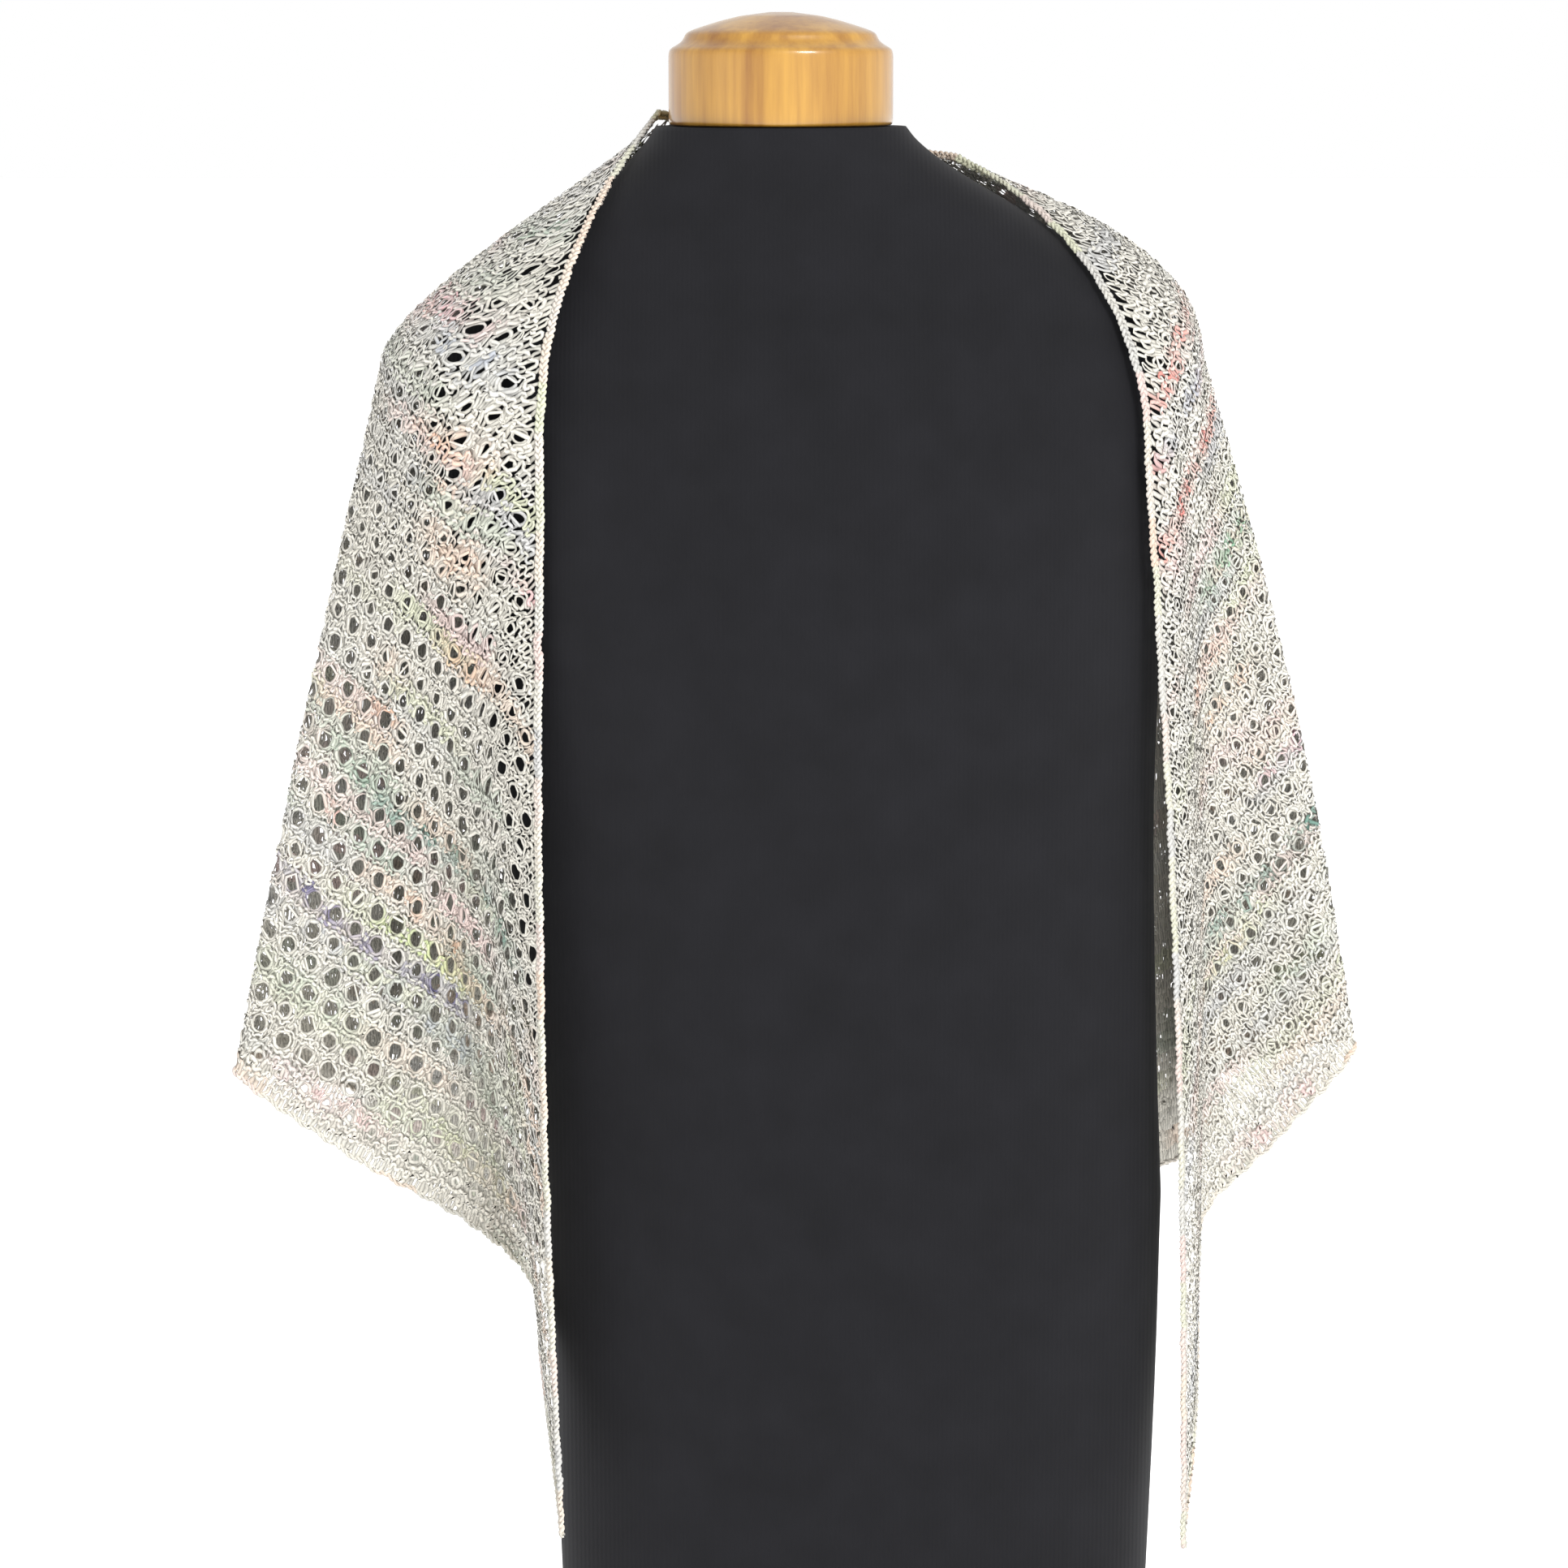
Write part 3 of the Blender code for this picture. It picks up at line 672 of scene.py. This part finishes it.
def edge_frame(path, normals, spacing):
    """A path divided evenly, with its direction, the cloth's normal and the way in across it."""
    steps = np.linalg.norm(np.diff(path, axis=0), axis=1)
    along = np.concatenate([[0.0], np.cumsum(steps)])
    s = np.arange(0.0, along[-1], spacing)
    centre = np.column_stack([np.interp(s, along, path[:, k]) for k in range(3)])
    normal = np.column_stack([np.interp(s, along, normals[:, k]) for k in range(3)])
    direction = unit(np.gradient(centre, axis=0))
    inward = unit(np.cross(normal, direction))
    return s, centre, inward, np.cross(direction, inward)


def build_edges(chain_material, cast_off_material):
    """The chain edge as a flat plait of three strands, and the cast-off edge as a two-strand twist.

    Plait: sideways = a sin(p), height = b sin(2p), the strands a third of a turn apart. Twist:
    sideways = a cos(p), height = a sin(p), half a turn apart.
    """
    path = np.concatenate([SURFACE[0, :0:-1], SURFACE[1:-1, 0], SURFACE[-1, 1:]])
    normals = np.concatenate([NORMALS[0, :0:-1], NORMALS[1:-1, 0], NORMALS[-1, 1:]])
    s, centre, inward, upright = edge_frame(path, normals, CHAIN_LINK / 7)
    middle = surface_middle_side(centre, inward, CHAIN_WIDTH / 2)
    aside, lifted = 0.6 * wander(s / 9.0, 61.0), 0.4 * wander(s / 6.0, 67.0)
    middle = middle + inward * aside[:, None] + upright * lifted[:, None]
    points, radii = [], []
    for k in range(3):
        p = 2 * math.pi * (s / CHAIN_LINK / 1.5 + k / 3)
        aside, lifted = PLAIT_WIDTH * np.sin(p), PLAIT_HEIGHT * np.sin(2 * p)
        points.append(middle + inward * aside[:, None] + upright * lifted[:, None])
        radii.append(CHAIN_YARN * (1 + 0.3 * wander(s / 4.3, k + 3.0) + 0.16 * wander(s / 1.5, k + 13.0)))
    shade = edge_colours(s, 21.0, "undyed", ("pink", "lime", "peach", "blue_grey"))
    chain = finish_edge("chain_selvedge", points, radii, shade, 5, chain_material)
    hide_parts("neck_edge")

    s, centre, inward, upright = edge_frame(SURFACE[:, -1], NORMALS[:, -1], CAST_OFF_TWIST / 8)
    middle = surface_middle_side(centre, inward, CAST_OFF_WIDTH / 2)
    middle = middle + inward * (SCALLOP[0] * np.sin(2 * math.pi * s / SCALLOP[1]))[:, None]
    points, radii = [], []
    for k in range(2):
        p = 2 * math.pi * (s / CAST_OFF_TWIST + k / 2)
        aside, lifted = TWIST_RADIUS * np.cos(p), TWIST_RADIUS * np.sin(p)
        points.append(middle + inward * aside[:, None] + upright * lifted[:, None])
        radii.append(CAST_OFF_YARN * (1 + 0.16 * wander(s / 4.9, k + 9.0)))
    shade = edge_colours(s, 33.0, "undyed", ("pink", "cool_grey", "undyed", "peach"))
    cast_off = finish_edge("cast_off_hem", points, radii, shade, 4, cast_off_material)
    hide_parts("hem_edge")
    return chain, cast_off


def surface_middle_side(centre, inward, distance):
    """The path moved in from the cloth's edge, on the side where the cloth is."""
    middle = SURFACE[CENTRE_LINE, DOWN_STEPS // 2]
    towards = ((middle - centre) * inward).sum()
    return centre + inward * distance * (1.0 if towards > 0 else -1.0)


def edge_colours(s, seed, base, tints):
    """Linear colours along an edge: the base, with a tint that changes every 24 mm."""
    run = np.floor(s / 24.0)
    index = np.array([SHADE_INDEX[name] for name in tints])
    tint = SHADE_TABLE[index[(scatter(run, seed) * len(tints)).astype(int)]]
    much = (0.04 + 0.26 * scatter(run, seed + 1.0))[:, None]
    return SHADE_TABLE[SHADE_INDEX[base]] * (1 - much) + tint * much


def finish_edge(name, points, radii, shade, sides, material):
    """Joins the strands of an edge into one mesh of tubes, each with the same colours along it."""
    path, strand = np.concatenate(points), np.repeat(np.arange(len(points)), len(points[0]))
    mesh_points, faces = tube_along(path, np.concatenate(radii), sides, strand)
    piece = link_mesh(name, mesh_points, faces, material)
    colours = np.column_stack([np.tile(shade, (len(points), 1)), np.ones(len(path))])
    put_attribute(piece, "yarn_colour_and_painted_shade", "FLOAT_COLOR", np.repeat(colours, sides, axis=0))
    order = np.arange(len(path)) * 0.9
    run = np.stack([np.repeat(order, sides), np.tile(np.linspace(-1, 1, sides), len(path)),
                    np.repeat(strand, sides)], axis=1)
    put_attribute(piece, "yarn_run", "FLOAT_VECTOR", run)
    return piece


def grid_faces(rows, columns):
    """Quads between neighbouring points of a grid that closes round its columns."""
    r, c = np.meshgrid(np.arange(rows - 1), np.arange(columns), indexing="ij")
    beside = (c + 1) % columns
    corners = (r * columns + c, (r + 1) * columns + c, (r + 1) * columns + beside, r * columns + beside)
    return np.stack(corners, axis=-1).reshape(-1, 4)


def closed_rings(name, points, material):
    """A closed piece from level rings, from the top down, with a fan to the middle of each end."""
    rows, columns = points.shape[:2]
    top, low = rows * columns, rows * columns + 1
    ends = np.stack([points[0].mean(axis=0), points[-1].mean(axis=0)])
    k = np.arange(columns)
    beside = (k + 1) % columns
    last = (rows - 1) * columns
    fans = np.concatenate([np.column_stack([np.full(columns, top), k, beside]),
                           np.column_stack([np.full(columns, low), last + beside, last + k])])
    all_points = np.concatenate([points.reshape(-1, 3), ends])
    return link_mesh(name, all_points, [grid_faces(rows, columns), fans], material)


def build_form(material):
    """The covered body: superellipse rings, x = a sgn(cos) |cos|^(2/n), y = b sgn(sin) |sin|^(2/n) + c.

    The rings are run smoothly through the table, lean to the right and slant with the shoulders.
    """
    rings = smooth_through(np.array(FORM_RINGS, float), 4)
    drop, half_width, half_depth, centre_y = (rings[:, i, None] for i in range(4))
    angle = np.arange(128) * 2 * math.pi / 128
    power = 2.0 / FORM_ROUNDNESS
    x = half_width * np.sign(np.cos(angle)) * np.abs(np.cos(angle)) ** power
    y = half_depth * np.sign(np.sin(angle)) * np.abs(np.sin(angle)) ** power + centre_y
    ramp = np.clip(drop / NECK_LEVEL_RUN, 0, 1)
    slant = math.tan(SHOULDER_SLANT) * ramp**2 * (3 - 2 * ramp) * (1 - drop / drop.max())
    z = NECK_HEIGHT - drop + x * slant
    shift = np.minimum(drop, LEAN_RUN) * math.tan(FORM_LEAN)
    points = np.stack([x + shift, y + 0 * x, z], axis=-1) + np.array(STAND_SHIFT)
    form = closed_rings("jersey_form_cover", points, material)
    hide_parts("form_body")
    return form


def turned_piece(name, node, profile, centre, steps, material):
    """Turned wood: rings of the profile's radius at its height, run smoothly between its corners."""
    profile = np.array(profile, float)
    angle = np.arange(steps) * 2 * math.pi / steps
    x = centre[0] + profile[:, 0, None] * np.cos(angle)
    y = centre[1] + profile[:, 0, None] * np.sin(angle)
    z = centre[2] + profile[:, 1, None] + 0 * angle
    piece = closed_rings(name, np.stack([x, y, z], axis=-1) + np.array(STAND_SHIFT), material)
    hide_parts(node)
    return piece


def rounded(corners, reach, steps):
    """A profile with each inner corner rounded by a quadratic arc that starts reach before it."""
    corners = np.array(corners, float)
    out = [corners[:1]]
    for before, corner, after in zip(corners[:-2], corners[1:-1], corners[2:]):
        back, on = before - corner, after - corner
        near = corner + back * min(0.45, reach / max(np.linalg.norm(back), 1e-6))
        far = corner + on * min(0.45, reach / max(np.linalg.norm(on), 1e-6))
        t = np.linspace(0, 1, steps)[:, None]
        out.append((1 - t) ** 2 * near + 2 * t * (1 - t) * corner + t**2 * far)
    out.append(corners[-1:])
    return np.concatenate(out)


CAP_CORNERS = (
    (6, 55.8), (20, 54), (29, 51.8), (37, 49.4), (43, 47.4), (45.8, 46.2), (47.2, 45), (48, 43.2), (48.8, 41.8),
    (51, 40), (54, 38.4), (55.2, 37), (55.6, 34.5), (55.6, 22), (55.6, 8), (55.5, 1.4), (53.9, 0.3), (30, 0.3),
)
COLUMN_RADIUS = 19.0
BASE_RADIUS = 125.0
BASE_HEIGHT = 26.0
BODY_DROP = 780.0


def build_wood(material):
    """The neck cap, column and base, each from its corners with their edges softened."""
    foot = (min(BODY_DROP, LEAN_RUN) * math.tan(FORM_LEAN), 0.0, 0.0)
    turned_piece("turned_neck_cap", "neck_cap", rounded(CAP_CORNERS, 2.0, 4), (0.0, 0.0, NECK_HEIGHT), 96, material)
    top = NECK_HEIGHT - BODY_DROP - GAP
    low = BASE_HEIGHT + GAP
    flare = COLUMN_RADIUS * 1.5
    column = ((5, top), (flare, top), (flare, top - 8), (COLUMN_RADIUS, top - 18), (COLUMN_RADIUS, low + 18),
              (flare, low + 8), (flare, low), (5, low))
    turned_piece("turned_column", "stand_column", rounded(column, 2.5, 4), foot, 64, material)
    base = ((20, BASE_HEIGHT), (BASE_RADIUS * 0.5, BASE_HEIGHT), (BASE_RADIUS - 16, BASE_HEIGHT - 3),
            (BASE_RADIUS - 5, BASE_HEIGHT - 8), (BASE_RADIUS, BASE_HEIGHT - 15), (BASE_RADIUS, 3),
            (BASE_RADIUS - 3, 0), (20, 0))
    turned_piece("turned_base", "stand_base", rounded(base, 2.0, 4), foot, 96, material)


def wool_material(name, roughness):
    """Handspun wool, knitted: dull, with a soft bright rim from its loose fibres.

    Its colour is the hank's, run by run, with painted shade: lighter along the middle of each strand
    and darker towards its sides, where the next one shades it. Its bumps are the round of the strand,
    the twist of the yarn, 2.5 mm a turn and drawn as coarse as it shows, and fine loose fibres.
    """
    material, tree, shader = new_material(name)
    colour = add_node(tree, "Attribute", {"attribute_name": "yarn_colour_and_painted_shade"})
    run = add_node(tree, "Attribute", {"attribute_name": "yarn_run"})
    place = add_node(tree, "TexCoord")
    fibre = add_node(tree, "TexNoise", {"Scale": 900.0, "Detail": 3.0, "Roughness": 0.6},
                     {"Vector": place.outputs["Object"]})
    across = add_node(tree, "SeparateXYZ", {}, {"Vector": run.outputs["Vector"]})
    side = add_node(tree, "Math", {"operation": "MULTIPLY"},
                    {0: across.outputs["Y"], 1: across.outputs["Y"]})
    # painted shade across each strand: 1.16 along its middle down to 0.5 at its sides, times the fibres' own tone
    painted_side_shade = add_node(tree, "MapRange", {"To Min": 1.16, "To Max": 0.5}, {"Value": side.outputs["Value"]})
    light = add_node(tree, "MapRange", {"To Min": 0.82, "To Max": 1.16}, {"Value": fibre.outputs["Fac"]})
    shade = add_node(tree, "Math", {"operation": "MULTIPLY"},
                     {0: painted_side_shade.outputs["Result"], 1: light.outputs["Result"]})
    tinted = add_node(tree, "VectorMath", {"operation": "SCALE"},
                      {0: colour.outputs["Color"], "Scale": shade.outputs["Value"]})
    twist = add_node(tree, "TexWave", {"Scale": 0.4, "Distortion": 1.2, "Detail": 1.0,
                                                 "bands_direction": "DIAGONAL"}, {"Vector": run.outputs["Vector"]})
    relief = add_node(tree, "Math", {"operation": "MULTIPLY_ADD", 1: 0.6},
                      {0: twist.outputs["Fac"], 2: fibre.outputs["Fac"]})
    bump = add_node(tree, "Bump", {"Strength": 0.45, "Distance": 0.0004}, {"Height": relief.outputs["Value"]})
    round_side = add_node(tree, "Math", {"operation": "SUBTRACT", 0: 1.0}, {1: side.outputs["Value"]})
    rounding = add_node(tree, "Bump", {"Strength": 0.5, "Distance": 0.0007},
                        {"Height": round_side.outputs["Value"], "Normal": bump.outputs["Normal"]})
    set_node(tree, shader, {"Roughness": roughness, "Specular IOR Level": 0.35, "Sheen Weight": 0.35,
                            "Sheen Roughness": 0.45},
             {"Base Color": tinted.outputs["Vector"], "Normal": rounding.outputs["Normal"]})
    return material


def jersey_material():
    """Black viscose jersey, stretched over the form: fine upright ribs of stitches 1.1 mm wide."""
    material, tree, shader = new_material("black_viscose_jersey")
    place = add_node(tree, "TexCoord")
    ribs = add_node(tree, "TexWave", {"Scale": 143.0, "Distortion": 1.5, "Detail": 2.0,
                                                "Detail Scale": 4.0, "bands_direction": "X"},
                    {"Vector": place.outputs["Object"]})
    slub = add_node(tree, "TexNoise", {"Scale": 35.0, "Detail": 4.0}, {"Vector": place.outputs["Object"]})
    shade = add_node(tree, "Mix", {"data_type": "RGBA", 6: linear("#101013"), 7: linear("#1B1B1F")},
                     {"Factor": slub.outputs["Fac"]})
    bump = add_node(tree, "Bump", {"Strength": 0.25, "Distance": 0.0003}, {"Height": ribs.outputs["Fac"]})
    set_node(tree, shader, {"Roughness": 0.85, "Specular IOR Level": 0.2, "Sheen Weight": 0.04,
                            "Sheen Roughness": 0.5},
             {"Base Color": shade.outputs[2], "Normal": bump.outputs["Normal"]})
    return material


def wood_material():
    """Maple, turned and varnished: honey-coloured, with upright grain lines 2 to 5 mm apart.

    The grain is stretched along the block's length, and a clear coat gives the gloss.
    """
    material, tree, shader = new_material("varnished_maple")
    place = add_node(tree, "TexCoord")
    stretched = add_node(tree, "Mapping", {"Scale": (1.0, 1.0, 0.06)}, {"Vector": place.outputs["Object"]})
    grain = add_node(tree, "TexNoise", {"Scale": 260.0, "Detail": 5.0, "Roughness": 0.62},
                     {"Vector": stretched.outputs["Vector"]})
    figure = add_node(tree, "TexNoise", {"Scale": 45.0, "Detail": 3.0, "Distortion": 0.6},
                      {"Vector": stretched.outputs["Vector"]})
    blend = add_node(tree, "Math", {"operation": "MULTIPLY_ADD", 1: 0.55},
                     {0: grain.outputs["Fac"], 2: figure.outputs["Fac"]})
    ramp = add_node(tree, "ValToRGB", {}, {"Fac": blend.outputs["Value"]})
    for element, (position, colour) in zip(ramp.color_ramp.elements, ((0.5, "#8E5C18"), (0.95, "#BF8E34"))):
        element.position = position
        element.color = linear(colour)
    bump = add_node(tree, "Bump", {"Strength": 0.12, "Distance": 0.0003}, {"Height": grain.outputs["Fac"]})
    set_node(tree, shader, {"Roughness": 0.42, "Coat Weight": 0.8, "Coat Roughness": 0.16},
             {"Base Color": ramp.outputs["Color"], "Normal": bump.outputs["Normal"]})
    return material


def floor_material():
    """Painted studio floor, matt white with a faint mottle; a painted glow lights from below, less near the stand
    as painted shadow.
    """
    material, tree, shader = new_material("matt_white_floor")
    place = add_node(tree, "TexCoord")
    mottle = add_node(tree, "TexNoise", {"Scale": 3.0, "Detail": 2.0}, {"Vector": place.outputs["Object"]})
    shade = add_node(tree, "Mix", {"data_type": "RGBA", 6: linear("#FAFAFA"), 7: linear("#FDFDFD")},
                     {"Factor": mottle.outputs["Fac"]})
    # painted glow: the floor glows 0.55 near the stand up to 0.72 away from it, a painted shadow round its foot
    level = add_node(tree, "VectorMath", {"operation": "LENGTH"}, {0: place.outputs["Object"]})
    painted_floor_glow = add_node(tree, "MapRange", {"interpolation_type": "SMOOTHSTEP", "From Min": 0.15,
                                                 "From Max": 0.55, "To Min": 0.55, "To Max": 0.72},
                    {"Value": level.outputs["Value"]})
    set_node(tree, shader, {"Roughness": 0.9, "Specular IOR Level": 0.1, "Emission Color": linear("#FFFFFF")},
             {"Base Color": shade.outputs[2], "Emission Strength": painted_floor_glow.outputs["Result"]})
    return material


def aim_at(item, target):
    """Turns a camera or light so that it looks at a point."""
    way = Vector(target) - item.location
    item.rotation_euler = way.to_track_quat("-Z", "Y").to_euler()


def build_camera():
    """The camera at the photograph's viewing angle."""
    data = bpy.data.cameras.new("camera")
    data.lens = LENS_MM
    data.sensor_width = SENSOR_MM
    camera = bpy.data.objects.new("camera", data)
    bpy.context.scene.collection.objects.link(camera)
    camera.location = CAMERA_PLACE
    aim_at(camera, CAMERA_AIM)
    bpy.context.scene.camera = camera


SKY_OVERHEAD = 0.75  # the surroundings are white low down and this bright overhead
LIGHTS = (
    # name, place, size, power
    ("key", (1.5, -2.7, 2.9), 1.0, 87.0),
    ("fill", (-2.2, -1.8, 1.4), 2.0, 4.0),
)


def build_studio():
    """White surroundings, a matt white floor and two soft lights."""
    scene = bpy.context.scene
    scene.view_settings.view_transform = "Standard"
    world = bpy.data.worlds.new("white_studio")
    world.use_nodes = True
    way = add_node(world.node_tree, "TexCoord")
    height = add_node(world.node_tree, "SeparateXYZ", {}, {"Vector": way.outputs["Generated"]})
    sky = add_node(world.node_tree, "MapRange",
                   {"From Min": 0.06, "From Max": 0.35, "To Min": 1.0, "To Max": SKY_OVERHEAD},
                   {"Value": height.outputs["Z"]})
    world.node_tree.links.new(sky.outputs["Result"], world.node_tree.nodes["Background"].inputs["Strength"])
    world.node_tree.nodes["Background"].inputs["Color"].default_value = linear("#FFFFFF")
    scene.world = world
    for name, place, size, power in LIGHTS:
        data = bpy.data.lights.new(name, "AREA")
        data.size = size
        data.energy = power
        light = bpy.data.objects.new(name, data)
        scene.collection.objects.link(light)
        light.location = place
        aim_at(light, (0.0, 0.0, 0.6))
    mesh = bpy.data.meshes.new("studio_floor")
    mesh.from_pydata([(-30, -30, 0), (30, -30, 0), (30, 30, 0), (-30, 30, 0)], [], [(0, 1, 2, 3)])
    mesh.materials.append(floor_material())
    floor = bpy.data.objects.new("studio_floor", mesh)
    scene.collection.objects.link(floor)


KNIT_BANDS = ((0, 17), (17, 38), (38, 130))


def declare_band():
    """Hides the imported lace part."""
    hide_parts("shawl_lace")


def main():
    build_camera()
    wool = wool_material("handspun_wool_lace", 0.8)
    chain, cast_off = build_edges(wool_material("wool_chain_selvedge", 0.7), wool_material("wool_cast_off", 0.8))
    for side in ("left", "right"):
        for band, (first, last) in zip(("hem", "middle", "neck"), KNIT_BANDS):
            piece = build_knit(side, f"lace_{side}_{band}", first, last, wool)
            declare_band()
    build_form(jersey_material())
    build_wood(wood_material())
    build_studio()


main()
